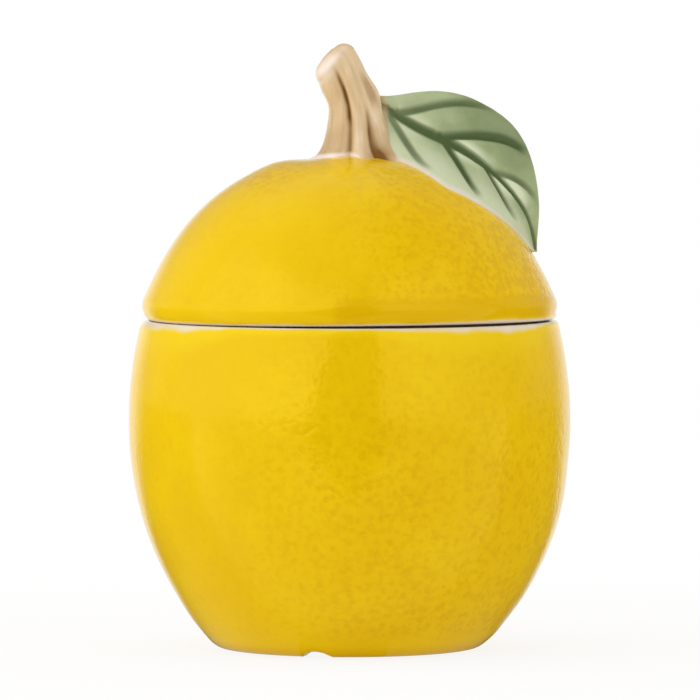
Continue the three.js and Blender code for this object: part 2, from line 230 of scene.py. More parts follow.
def makeDarkened():
    # darker where glaze gathers in pits, flutes and veins; the same mix also carries painted shade on the
    # stem and leaf and a painted reflection on the lid
    tree, given, out = startGroup("darkenedGlaze", "ShaderNodeTree", [
        ("Colour", "Color", (1, 1, 1, 1)), ("Pool Colour", "Color", (0, 0, 0, 1)), ("Pool", "Float", 0.0),
        ("Strength", "Float", 1.0)], [("Colour", "Color")])
    share = sums(tree, "MULTIPLY", given["Pool"], given["Strength"], True)
    tree.links.new(mixed(tree, share, given["Colour"], given["Pool Colour"]), out["Colour"])
    return tree


def makeBreak():
    # glaze that thins and breaks pale along an edge, with a ragged limit; Edge is in millimetres
    tree, given, out = startGroup("glazeBreak", "ShaderNodeTree", [
        ("Vector", "Vector", None), ("Colour", "Color", (1, 1, 1, 1)),
        ("Break Colour", "Color", (1, 1, 1, 1)), ("Edge", "Float", 10.0), ("Width", "Float", 1.0),
        ("Softness", "Float", 0.6), ("Ragged", "Float", 0.8), ("Ragged Size", "Float", 140.0)],
        [("Colour", "Color")])
    wander = noise(tree, given["Vector"], given["Ragged Size"], 1.5)
    wander = times(tree, sums(tree, "SUBTRACT", wander, 0.5), given["Ragged"])
    edge = sums(tree, "ADD", given["Edge"], wander)
    limit = sums(tree, "ADD", given["Width"], given["Softness"])
    mask = ranged(tree, edge, given["Width"], limit, 1.0, 0.0)
    tree.links.new(mixed(tree, mask, given["Colour"], given["Break Colour"]), out["Colour"])
    return tree


def makePores():
    # close-set pores of citrus peel: uneven, run together in places, some nearly filled by the glaze
    tree, given, out = startGroup("peelPores", "ShaderNodeTree", [
        ("Vector", "Vector", None), ("Pore Size", "Float", 470.0), ("Patch Size", "Float", 60.0),
        ("Amount", "Float", 1.0)], [("Pore", "Float")])
    blotch = place(tree, "ShaderNodeTexNoise", None, {
        "Vector": given["Vector"], "Scale": given["Pore Size"], "Detail": 1.5, "Roughness": 0.5,
        "Distortion": 0.4})
    stray = vectors(tree, "SCALE", {0: blotch.outputs["Color"], "Scale": 0.0012})[0]
    bent = vectors(tree, "ADD", {0: given["Vector"], 1: stray})[0]
    cells = place(tree, "ShaderNodeTexVoronoi", {"feature": "F1"}, {
        "Vector": bent, "Scale": given["Pore Size"], "Randomness": 1.0})
    patch = noise(tree, given["Vector"], given["Patch Size"], 3.0, 0.65)
    dots = ranged(tree, cells.outputs["Distance"], 0.1, 0.6, 0.75, 0.0)
    dots = times(tree, dots, ranged(tree, patch, 0.3, 0.6, 0.3, 1.0))
    pore = sums(tree, "ADD", dots, ranged(tree, blotch.outputs["Fac"], 0.44, 0.7, 0.0, 0.7), True)
    tree.links.new(times(tree, pore, given["Amount"]), out["Pore"])
    return tree


glazeMottle = makeMottle()
peelPores = makePores()
darkenedGlaze = makeDarkened()
glazeBreak = makeBreak()


def startMaterial(name):
    made = bpy.data.materials.new(name)
    made.use_nodes = True
    tree = made.node_tree
    shader = tree.nodes["Principled BSDF"]
    where = place(tree, "ShaderNodeTexCoord").outputs["Object"]
    return made, tree, shader, where


def readValue(tree, name):
    return place(tree, "ShaderNodeAttribute", {"attribute_name": name}).outputs["Fac"]


def addBump(tree, shader, height, strength, distance):
    made = place(tree, "ShaderNodeBump", None, {
        "Height": height, "Strength": strength, "Distance": distance})
    tree.links.new(made.outputs["Normal"], shader.inputs["Normal"])


def mottled(tree, where, light, deep, sizes):
    inputs = dict(zip(("Cloud Size", "Grain Size", "Grain"), sizes))
    return useGroup(tree, glazeMottle, {
        "Vector": where, "Light": tint(*light), "Deep": tint(*deep), **inputs})


def darkened(tree, colour, look, pool):
    return useGroup(tree, darkenedGlaze, {
        "Colour": colour, "Pool Colour": tint(*look["pool"]), "Pool": pool,
        "Strength": look["poolStrength"]})["Colour"]


def broken(tree, where, colour, pale, edge, sizes):
    inputs = dict(zip(("Width", "Softness", "Ragged"), sizes))
    return useGroup(tree, glazeBreak, {
        "Vector": where, "Colour": colour, "Break Colour": tint(*pale), "Edge": edge, **inputs})["Colour"]


def satinFinish(tree, shader, cloud, look, darkenedBy):
    # duller where the glaze clouds, and without its clear coat where stain has gathered and where shade is
    # painted
    dull = ranged(tree, cloud["Cloud"], 0, 1, look["roughness"] - 0.06, look["roughness"] + 0.08)
    tree.links.new(dull, shader.inputs["Roughness"])
    coat = ranged(tree, readValue(tree, darkenedBy), 0, look["coatEnd"], look["coat"], 0.0)
    tree.links.new(coat, shader.inputs["Coat Weight"])
    shader.inputs["Coat Roughness"].default_value = look["coatRoughness"]
    shader.inputs["Specular IOR Level"].default_value = 0.25
    addBump(tree, shader, cloud["Height"], look["bump"], 0.0002)


# yellow peel glaze outside, cream glaze inside, bare clay where the piece stands; clouds are (cloud size,
# grain size, grain), and breaks are (width, softness, raggedness) in millimetres
yellowLook = {
    "light": (236, 196, 9), "deep": (232, 189, 5), "clouds": (48.0, 900.0, 0.5),
    "pool": (210, 158, 0), "poolStrength": 0.4, "pitShade": 0.2,
    "thin": (238, 202, 16), "thinBreak": (0.3, 2.2, 1.2),
    "pale": (228, 218, 206), "paleBreak": (0.0, 0.5, 0.5),
    "inside": (238, 231, 214), "insideDeep": (224, 214, 192), "insideClouds": (30.0, 1400.0, 0.4),
    "clayAndSeamShade": (222, 208, 186), "roughness": 0.1, "bareRoughness": 0.55,
    "sheen": 0.55, "sheenTint": (255, 237, 104), "bump": 0.22, "ripple": 0.4,
}


def yellowGlaze(name, look):
    made, tree, shader, where = startMaterial(name)
    cloud = mottled(tree, where, look["light"], look["deep"], look["clouds"])
    pore = useGroup(tree, peelPores, {"Vector": where, "Amount": readValue(tree, "peel")})["Pore"]
    poolAndReflection = sums(tree, "ADD", pore, times(tree, readValue(tree, "pit"), look["pitShade"]), True)
    # glaze pooled in pits, at the foot and over the notch, and on the lid a painted reflection of the unlit
    # gap between the lamps
    poolAndReflection = sums(tree, "ADD", poolAndReflection, readValue(tree, "poolAndReflection"), True)
    colour = darkened(tree, cloud["Colour"], look, poolAndReflection)
    edge = readValue(tree, "edge")
    for part in ("thin", "pale"):
        colour = broken(tree, where, colour, look[part], edge, look[part + "Break"])
    lining = mottled(tree, where, look["inside"], look["insideDeep"], look["insideClouds"])
    colour = mixed(tree, readValue(tree, "yellow"), lining["Colour"], colour)
    bare = readValue(tree, "bare")
    tree.links.new(mixed(tree, bare, colour, tint(*look["clayAndSeamShade"])), shader.inputs["Base Color"])
    gloss = ranged(tree, cloud["Cloud"], 0, 1, look["roughness"] - 0.02, look["roughness"] + 0.03)
    rough = sums(tree, "ADD", gloss, times(tree, bare, look["bareRoughness"]))
    tree.links.new(rough, shader.inputs["Roughness"])
    shader.inputs["Specular IOR Level"].default_value = look["sheen"]
    shader.inputs["Specular Tint"].default_value = tint(*look["sheenTint"])
    fine = times(tree, cloud["Height"], look["ripple"])
    addBump(tree, shader, sums(tree, "SUBTRACT", fine, pore), look["bump"], 0.0003)
    return made


stemLook = {
    "light": (228, 202, 161), "deep": (211, 181, 135), "clouds": (170.0, 1300.0, 0.35),
    # pale is where the stain breaks, and also the painted highlight on the end's left shoulder
    "pool": (122, 80, 8), "poolStrength": 1.0, "pale": (246, 232, 220), "paleBreak": (0.3, 1.0, 0.7),
    "roughness": 0.26, "coat": 0.45, "coatEnd": 0.6, "coatRoughness": 0.14, "bump": 0.12,
}


def stemStain(name, look):
    made, tree, shader, where = startMaterial(name)
    drawn = place(tree, "ShaderNodeMapping", None, {"Vector": where, "Scale": (1, 1, 0.3)}).outputs[0]
    cloud = mottled(tree, drawn, look["light"], look["deep"], look["clouds"])
    # stain pooled in the grooves, with painted shade down the right side, at the foot on the left and under
    # the spur
    colour = darkened(tree, cloud["Colour"], look, readValue(tree, "stainAndShade"))
    colour = broken(tree, where, colour, look["pale"], readValue(tree, "edge"), look["paleBreak"])
    tree.links.new(colour, shader.inputs["Base Color"])
    satinFinish(tree, shader, cloud, look, "stainAndShade")
    return made


leafLook = {
    "light": (170, 183, 136), "deep": (148, 162, 114), "clouds": (120.0, 1300.0, 0.35),
    "pool": (74, 92, 50), "poolStrength": 1.0, "pale": (224, 219, 202), "paleBreak": (0.3, 1.2, 0.5),
    # wash is the paler green towards the lower edge, and also the colour of the painted highlight on the
    # lips and of the painted light near the root
    "wash": (212, 220, 186), "root": (206, 186, 144),
    "roughness": 0.3, "coat": 0.25, "coatEnd": 0.7, "coatRoughness": 0.16, "bump": 0.1,
}


def leafGlazed(name, look):
    made, tree, shader, where = startMaterial(name)
    cloud = mottled(tree, where, look["light"], look["deep"], look["clouds"])
    # paler towards the lower edge, with painted highlights and painted light, then darker in the veins and
    # where shade is painted
    colour = mixed(tree, readValue(tree, "pale"), cloud["Colour"], tint(*look["wash"]))
    colour = darkened(tree, colour, look, readValue(tree, "vein"))
    colour = mixed(tree, readValue(tree, "root"), colour, tint(*look["root"]))
    colour = broken(tree, where, colour, look["pale"], readValue(tree, "edge"), look["paleBreak"])
    tree.links.new(colour, shader.inputs["Base Color"])
    satinFinish(tree, shader, cloud, look, "vein")
    return made


# peel: pits spread over the glazed outside at an even spacing, and slow lumps under the hand
def makePeel():
    tree, given, out = startGroup("peelPits", "GeometryNodeTree", [
        ("Geometry", "Geometry", None), ("Spacing", "Float", 0.003), ("Pit Width", "Float", 0.0018),
        ("Pit Depth", "Float", 0.0001), ("Lump Size", "Float", 30.0), ("Lump Depth", "Float", 0.0001),
        ("Seed", "Int", 1), ("Glaze", "Material", None)], [("Geometry", "Geometry")])
    peel = place(tree, "GeometryNodeInputNamedAttribute", {"data_type": "FLOAT"}, {"Name": "peel"})
    peel = peel.outputs["Attribute"]
    crowd = sums(tree, "DIVIDE", 2.4, times(tree, given["Spacing"], given["Spacing"]))
    spread = place(tree, "GeometryNodeDistributePointsOnFaces", {"distribute_method": "POISSON"}, {
        "Mesh": given["Geometry"], "Distance Min": given["Spacing"], "Density Max": crowd,
        "Density Factor": peel, "Seed": given["Seed"]})
    near = place(tree, "GeometryNodeProximity", {"target_element": "POINTS"}, {0: spread.outputs["Points"]})
    half = times(tree, given["Pit Width"], 0.5)
    vary = noise(tree, None, 150.0, 1.0)
    reach = times(tree, half, ranged(tree, vary, 0.35, 0.65, 0.65, 1.25))
    bowl = ranged(tree, near.outputs["Distance"], 0.0, reach, 1.0, 0.0)
    patch = noise(tree, None, 90.0, 2.0)
    bowl = times(tree, bowl, ranged(tree, patch, 0.35, 0.62, 0.2, 1.0))
    pit = times(tree, bowl, peel)
    lump = noise(tree, None, given["Lump Size"], 1.0)
    sunk = times(tree, pit, given["Pit Depth"])
    slow = times(tree, times(tree, lump, peel), given["Lump Depth"])
    depth = times(tree, sums(tree, "ADD", sunk, slow), -1.0)
    normal = place(tree, "GeometryNodeInputNormal").outputs["Normal"]
    move = vectors(tree, "SCALE", {0: normal, "Scale": depth})[0]
    kept = place(tree, "GeometryNodeStoreNamedAttribute", {"data_type": "FLOAT", "domain": "POINT"}, {
        "Geometry": given["Geometry"], "Name": "pit", "Value": pit})
    moved = place(tree, "GeometryNodeSetPosition", None, {"Geometry": kept.outputs[0], "Offset": move})
    whole = place(tree, "GeometryNodeRealizeInstances", None, {0: moved.outputs[0]})
    glazed = place(tree, "GeometryNodeSetMaterial", None, {
        "Geometry": whole.outputs[0], "Material": given["Glaze"]})
    tree.links.new(glazed.outputs[0], out["Geometry"])
    return tree


peelPits = makePeel()


def addPeel(piece, settings):
    modifier = piece.modifiers.new("peel", "NODES")
    modifier.node_group = peelPits
    for item in peelPits.interface.items_tree:
        if item.in_out == "INPUT" and item.name in settings:
            modifier[item.identifier] = settings[item.name]
    shown = piece.evaluated_get(bpy.context.evaluated_depsgraph_get())
    mesh = bpy.data.meshes.new_from_object(shown)
    piece.modifiers.clear()
    piece.data = mesh
    mesh.name = piece.name
    print(piece.name, "peeled:", len(mesh.polygons), "faces")


# jar; a turn is in degrees from +X, seen from above, and a name that ends in At gives a turn and a width
jarShape = {
    "height": 81.5, "belly": 55.0, "bellyHeight": 56.4, "rim": 51.75, "foot": 33.0, "wall": 4.5,
    "rimRound": 0.8, "floor": 7.0, "floorRound": 9.0, "footRound": 1.8, "ringWidth": 3.0, "recess": 2.0,
    "notchWidth": 7.6, "notchHeight": 1.5, "notchTurn": 14.3,
    "around": 540, "rowStep": 0.7, "insideStep": 7.0,
    # what the hand leaves: a fuller flank as (share, height, reach), a sway, and corners worn by a share
    "fuller": (0.005, 31, 9), "sway": 0.33, "swayUp": (6, 14), "swayDown": (30, 50),
    "rimWear": 0.014, "rimWearAt": (188, 0.12), "footWear": 0.014, "footWearAt": (0, 0.3),
    # broader breaks of the glaze as (turn, width, how much)
    "breaks": ((206, 0.09, 3.2), (311, 0.1, 3.0)), "peelTurn": 300, "peelFade": (68, 24),
    "peel": {"Spacing": 0.0024, "Pit Width": 0.0018, "Pit Depth": 0.00008, "Lump Size": 38.0,
             "Lump Depth": 0.00014, "Seed": 4},
}


def halfHeight(end, radius):
    # of the ellipse that the side follows from the belly to one end
    return abs(end - jarShape["bellyHeight"]) / math.sqrt(1 - (radius / jarShape["belly"]) ** 2)


flankRise = halfHeight(0, jarShape["foot"])
shoulderRise = halfHeight(jarShape["height"], jarShape["rim"])


def sideRadius(depth, height):
    above = np.asarray(height, float) - jarShape["bellyHeight"]
    rise = np.where(above > 0, shoulderRise, flankRise) - depth
    return (jarShape["belly"] - depth) * np.sqrt(1 - (above / rise) ** 2)


def sideRun(depth, low, high):
    heights = np.linspace(low, high, 400)
    return np.stack([sideRadius(depth, heights), heights], 1)


def sidePoint(depth, height):
    return float(sideRadius(depth, height)), height


def buildJar(s):
    top, wall, turn = s["height"], s["wall"], s["rimRound"]
    ringOuter = s["foot"] - s["footRound"]
    ringInner = ringOuter - s["ringWidth"]
    mouth, rim = float(sideRadius(wall, top)), float(sideRadius(0, top))
    edge = float(sideRadius(wall, s["floor"]))
    under = np.array([[r, s["recess"]] for r in (0, 9, 18, ringInner - s["recess"])])
    ring = np.concatenate([
        corner(under[-1], (ringInner, s["recess"]), (ringInner, 0), 7)[1:],
        np.stack([np.linspace(ringInner, ringOuter, 7)[1:], np.zeros(6)], 1)])
    toe = corner((ringOuter, 0), (s["foot"], 0), sidePoint(0, s["footRound"]), 8)[1:]
    flank = evenRows(sideRun(0, s["footRound"], top - turn), s["rowStep"])[1:]
    lip = np.concatenate([
        corner(flank[-1], (rim, top), (rim - turn, top), 6)[1:],
        np.stack([np.linspace(rim - turn, mouth + turn, 4)[1:], np.full(3, top)], 1)])
    lipIn = corner((mouth + turn, top), (mouth, top), sidePoint(wall, top - turn), 5)[1:]
    inside = evenRows(sideRun(wall, s["floor"] + s["floorRound"], top - turn)[::-1], s["insideStep"])[1:]
    floor = np.concatenate([
        corner(inside[-1], (edge, s["floor"]), (edge - s["floorRound"], s["floor"]), 5)[1:],
        [[12, s["floor"]], [0, s["floor"]]]])
    parts = [under, ring, toe, flank, lip, lipIn, inside, floor]
    rows = np.concatenate(parts)
    runs = np.cumsum([0] + [len(p) for p in parts])
    index = np.arange(len(rows))
    outside = (index >= runs[2] + 2) & (index < runs[5])
    values = {
        "yellow": (outside & (index < runs[4] + 6)).astype(float),
        "bare": ((index >= runs[1] + 4) & (index < runs[2] + 2)).astype(float),
        "peel": np.where((index >= runs[3]) & (index < runs[4]),
                         ease(rows[:, 1], 2.5, 7) * ease(top - rows[:, 1], 1.2, 3.5), 0),
        "edge": np.where(outside, np.maximum(0, top - rows[:, 1]), 20.0),
        "poolAndReflection": np.where(outside, ease(3.5 - rows[:, 1], 0, 3), 0),
    }
    bore = (s["notchWidth"] ** 2 / 4 + s["notchHeight"] ** 2) / (2 * s["notchHeight"])
    notchAngle = math.radians(-90 - s["notchTurn"])

    def reshape(grid, angle):
        across = -grid[..., 0] * math.sin(notchAngle) + grid[..., 1] * math.cos(notchAngle)
        ahead = grid[..., 0] * math.cos(notchAngle) + grid[..., 1] * math.sin(notchAngle)
        arch = np.sqrt(np.maximum(0, bore ** 2 - across ** 2)) - bore + s["notchHeight"]
        # the thrown wall is a little fuller below the belly, and most of all at the right
        share, height, reach = s["fuller"]
        grid[..., :2] *= 1 + share * bump(grid[..., 2:], height, reach)
        sway = ease(grid[..., 2], *s["swayUp"]) * (1 - ease(grid[..., 2], *s["swayDown"]))
        grid[..., 0] += s["sway"] * sway
        # the rim's corner is rubbed rounder at the left, and the foot's at the right
        worn = s["rimWear"] * ease(grid[..., 2], top - 1.8, top) * facing(angle, *s["rimWearAt"])
        worn = worn + s["footWear"] * ease(4 - grid[..., 2], 0, 3.5) * facing(angle, *s["footWearAt"])
        grid[..., :2] *= (1 - worn)[..., None]
        radius = np.hypot(grid[..., 0], grid[..., 1])
        # glaze stands darker over the notch
        lined = (ahead > 0) & (radius > ringOuter) & (np.abs(across) < s["notchWidth"] / 2 + 0.4)
        lined = lined * bump(grid[..., 2], np.maximum(0, arch) + 0.35, 0.5)
        cut = (ahead > 0) & (radius > ringInner - s["recess"]) & (grid[..., 2] < np.minimum(arch, 3))
        grid[..., 2] = np.where(cut, arch, grid[..., 2])
        # the pale break at the rim is broadest at the left, and a little broader right of the front
        broad = 1 + sum(much * facing(angle, side, width) for side, width, much in s["breaks"])
        # the peel shows most from the middle of the front round to the right, and fades towards the rim
        shown = 0.3 + 0.7 * ease(toward(angle, s["peelTurn"]), 0.3, 0.95)
        height, reach = s["peelFade"]
        shown = shown * (0.55 + 0.45 * ease(height - grid[..., 2], 0, reach))
        return grid, {
            "bare": lambda body: np.maximum(body, cut.astype(float)), "edge": lambda body: body / broad,
            "peel": lambda body: body * shown, "poolAndReflection": lambda body: np.maximum(body, 1.6 * lined)}

    piece = turnedPiece("jar_shell", rows, s["around"], values, reshape)
    addPeel(piece, {**s["peel"], "Glaze": yellowGlaze("jarGlaze", yellowLook)})
    return piece


# lid; the bare seat where it rests on the jar is dark brown, a painted shade for the seam
lidLook = {**yellowLook, "clayAndSeamShade": (150, 124, 96), "thinBreak": (0.3, 0.8, 1.2), "paleBreak": (0.2, 0.5, 0.4)}
lidShape = {
    "seat": 81.8, "overhang": 0.3, "rise": 41.1, "edge": 3.2, "sole": 2.4, "solePull": 1.05, "wall": 4.5,
    "lean": 0.125, "swell": 0.414, "flat": 0.655, "hemRise": 1.6, "hemPull": 2.0, "hemDrop": 0.2,
    "flangeClear": 0.9, "flangeWall": 3.6, "flangeDrop": 7.0, "flangeRound": 1.0, "pocketRound": 2.0,
    "around": 540, "rowStep": 0.7, "insideStep": 7.0,
    # what the hand and the kiln leave: a squarer hem by a share, a warp, dents as (depth, x, wide, deep)
    "hemFull": 0.012, "hemFullAt": (0, 0.15), "warp": 0.5, "warpTurn": -64,
    "dents": ((0.7, -9.0, 5.2, 12), (-0.5, -19.0, 5.5, 14)),
    # rougher peel as (turn, width, height, reach, how much)
    "peelTurn": 325, "coarse": ((327, 0.05, 97, 8, 1.6), (212, 0.1, 117.5, 3, 1.4)),
    # a painted reflection of the unlit gap between the lamps darkens the hem from one turn round to another;
    # the edge breaks broader at a turn
    "reflectionFrom": 265, "reflectionTurn": 310, "breakAt": (335, 0.2),
    "peel": {"Spacing": 0.0024, "Pit Width": 0.0018, "Pit Depth": 0.00008, "Lump Size": 36.0,
             "Lump Depth": 0.00016, "Seed": 9},
}
lidRadius = jarShape["rim"] + lidShape["overhang"]
edgeTop = lidShape["seat"] + lidShape["edge"]
crown = lidShape["seat"] + lidShape["rise"]


def domeRun(offset, count):
    points, run = bend(np.linspace(0, 1, count)[:, None], [
        (lidRadius, edgeTop),
        (lidRadius * (1 - lidShape["lean"]), edgeTop + (crown - edgeTop) * lidShape["swell"]),
        (lidRadius * lidShape["flat"], crown), (0, crown)])
    run = run / np.linalg.norm(run, axis=1)[:, None]
    points = points + offset * np.stack([run[:, 1], -run[:, 0]], 1)
    points[:, 0] = np.maximum(0, points[:, 0])
    return points


domeLine = domeRun(0, 2000)


def domeHeight(x, y):
    # the crown is pressed a little flat at the left of the stem, and stands a little proud beyond that
    dent = sum(depth * bump(x, at, wide) * bump(y, 0, deep) for depth, at, wide, deep in lidShape["dents"])
    return np.interp(np.hypot(x, y), domeLine[::-1, 0], domeLine[::-1, 1]) - dent


def buildLid(s):
    seat = s["seat"]
    outer = float(sideRadius(jarShape["wall"], jarShape["height"])) - s["flangeClear"]
    inner = outer - s["flangeWall"]
    bottom, ledge, turn = seat - s["flangeDrop"], seat + s["wall"], s["flangeRound"]
    hollow = domeRun(-s["wall"], 300)
    hollow = evenRows(hollow[hollow[:, 1] > ledge + s["pocketRound"]][::-1], s["insideStep"])
    hollow[0, 0] = 0
    pocket = hollow[-1]
    flange = np.concatenate([
        corner(pocket, (pocket[0], ledge), (pocket[0] - s["pocketRound"], ledge), 4)[1:],
        corner((inner + turn, ledge), (inner, ledge), (inner, ledge - turn), 3),
        corner((inner, bottom + turn), (inner, bottom), (inner + turn, bottom), 4),
        corner((outer - turn, bottom), (outer, bottom), (outer, bottom + turn), 4),
        [[outer, seat - 0.6], [outer + 0.5, seat]]])
    low = seat - s["hemDrop"]
    sole = np.linspace((outer + 0.5, seat), (lidRadius - s["sole"], low), 4)[1:]
    dome = domeRun(0, 800)
    dome = dome[dome[:, 1] > edgeTop + s["hemRise"]]
    slope = (dome[1] - dome[0]) / np.linalg.norm(dome[1] - dome[0])
    hem, _ = bend(np.linspace(0, 1, 15)[1:, None], [
        (lidRadius - s["sole"], low), (lidRadius - s["solePull"], low),
        dome[0] - slope * s["hemPull"], dome[0]])
    dome = evenRows(dome, s["rowStep"])[1:]
    parts = [hollow, flange, sole, hem, dome]
    rows = np.concatenate(parts)
    rows[-1, 0] = 0
    runs = np.cumsum([0] + [len(p) for p in parts])
    index = np.arange(len(rows))
    values = {
        "yellow": (index >= runs[3] + 1).astype(float),
        # painted shade: this bare seat takes the lid's dark brown so that the seam looks shaded
        "bare": ((index >= runs[2] - 2) & (index < runs[3])).astype(float),  # where it rests on the jar
        "peel": np.where(index >= runs[4],
                         ease(rows[:, 1], edgeTop - 0.5, edgeTop + 2.5) * ease(rows[:, 0], 3, 8), 0),
        "edge": np.where(index >= runs[3], np.maximum(0, rows[:, 1] - low), 20.0),
        "poolAndReflection": np.where(index >= runs[3], ease(edgeTop + 4.5 - rows[:, 1], 0, 2.5), 0),
    }

    def reshape(grid, angle):
        # the fired edge is not quite flat, so the seam opens a little at the right of the front
        near = ease(edgeTop + 14 - grid[..., 2], 0, 14) * ease(grid[..., 2], seat - 2, seat)
        grid[..., 2] += s["warp"] * np.maximum(0, toward(angle, s["warpTurn"])) ** 2 * near
        row = np.arange(len(grid))[:, None]
        # the lower corner is squarer at the right
        full = bump(grid[..., 2], low + 0.7, 0.8) * facing(angle, *s["hemFullAt"]) * (row >= runs[3])
        grid[..., :2] *= (1 + s["hemFull"] * full)[..., None]
        x, y = grid[..., 0], grid[..., 1]
        top = (grid[..., 2] > crown - 9) & (row > runs[4])
        grid[..., 2] += np.where(top, domeHeight(x, y) - domeHeight(np.hypot(x, y), 0), 0)
        shown = 0.25 + 0.75 * ease(toward(angle, s["peelTurn"]), 0.3, 0.95)
        # rougher under the leaf's tip, and high up at the left of the stem
        shown = shown + sum(much * facing(angle, side, width) * bump(grid[..., 2], height, reach)
                            for side, width, height, reach, much in s["coarse"])
        # painted reflection: darker yellow above the lower edge, from the middle of the front round to the
        # right, for the mirrored unlit gap between the lamps
        reflectedGap = ease(np.sin(angle - math.radians(s["reflectionFrom"])), -0.01, 0.05) \
            * ease(toward(angle, s["reflectionTurn"]), 0, 0.6)
        broad = 1 + 0.9 * facing(angle, *s["breakAt"])
        return grid, {"peel": lambda body: body * shown, "poolAndReflection": lambda body: body * reflectedGap,
                      "edge": lambda body: body / broad}

    piece = turnedPiece("lid_shell", rows, s["around"], values, reshape)
    addPeel(piece, {**s["peel"], "Glaze": yellowGlaze("lidGlaze", lidLook)})
    return piece


# stem: a fluted stalk that leans to the left and ends in a slanting, eased cut
stemShape = {
    "rise": 22.35, "radius": 6.4, "flare": 2.7, "flareFade": 4.6, "swell": -0.7, "swellShare": (0.33, 0.7),
    "offset": 1.4, "lean": 4.4, "leanStart": 5.0, "endTilt": 46.0, "endRound": 3.3, "endBulge": 0.35,
    "sunk": 3.2, "bedded": 0.35,
    # a spur towards the leaf, the foot between it and the front, the bud that the leaf grows from,
    # a toe at the left and a fuller end
    "spur": 2.1, "spurAt": (-33.0, 0.12), "spurTop": (3.0, 13.0), "spurFoot": 1.5, "spurFade": 2.5,
    "foot": 1.8, "footAt": (-62.0, 0.1), "footTop": -1.0, "footFade": 1.2,
    "bud": 1.5, "budAt": (-3.0, 0.15), "budHeight": (12.6, 3.2),
    "toe": 1.6, "toeAt": (190.0, 0.25), "toeTop": -1.3, "toeFade": 0.6,
    "lip": 0.95, "lipRise": (13, 21), "lipLeft": (0.2, 0.9),
    # grooves from the front one round to the right: where, how strong, and the height where each dies away
    "fluteTurn": 259.0, "fluteDepth": 0.95, "fluteRoot": 0.9, "fluteFade": 0.5, "fluteSharp": 1.05,
    "grooveTurns": (0, 42, 103, 154, 206, 257, 309, 360),
    "grooveStrength": (1.45, 1.35, 0.8, 1.0, 0.9, 1.1, 0.4),
    "grooveTop": (21.0, 9.8, 17.0, 12.0, 18.0, 14.0, 16.0), "grooveEnd": (0.85, 5, 3),
    # stain and painted shade: a painted shade down the right edge and pale crests as (turn, width, how
    # much), painted shade at the foot on the left, and a brown spot, pooled stain and a painted shadow under
    # the spur, as (x, lean, wide, high)
    "rightEdgeShade": (-36.67, 0.016, 0.5), "rightEdgeShadeFrom": (9, 12.5), "rightEdgeShadeTo": (15, 19),
    "crests": ((-43.54, 0.03, 1.0), (-81.36, 0.012, 0.45)), "crestTop": (7, 12),
    "dull": 0.27, "footShadeTop": (4, 10), "footShadeLeft": (0.1, 0.7), "spot": (7.8, 0.14, 2.3, 2.8),
    "around": 252, "rows": 120, "capRows": 22,
}


def stemLean(height):
    # share of the lean that is reached at a height above the crown, and where the stem's middle is there
    share = np.maximum(0, (height - stemShape["leanStart"]) / (stemShape["rise"] - stemShape["leanStart"]))
    return share, stemShape["offset"] - stemShape["lean"] * share ** 2


def stemRings(s):
    # (height, draw in, raise) of each ring, up the stem and then over the eased end to its middle
    rings = [(h, 1.0, 0.0) for h in np.linspace(-s["sunk"], s["rise"], s["rows"])]
    endRadius = s["radius"] + s["swell"]
    for a in np.linspace(0, math.pi / 2, s["capRows"] // 2)[1:]:
        drawIn = 1 - s["endRound"] * (1 - math.cos(a)) / endRadius
        rings.append((s["rise"], drawIn, s["endRound"] * math.sin(a)))
    last = rings[-1][1]
    for a in np.linspace(0, 1, s["capRows"] // 2)[1:]:
        bulge = s["endBulge"] * math.sin(min(1, a * 1.6) * math.pi / 2) * (1 - 0.25 * a)
        rings.append((s["rise"], last * (1 - a) + 0.004 * a, s["endRound"] + bulge))
    return rings


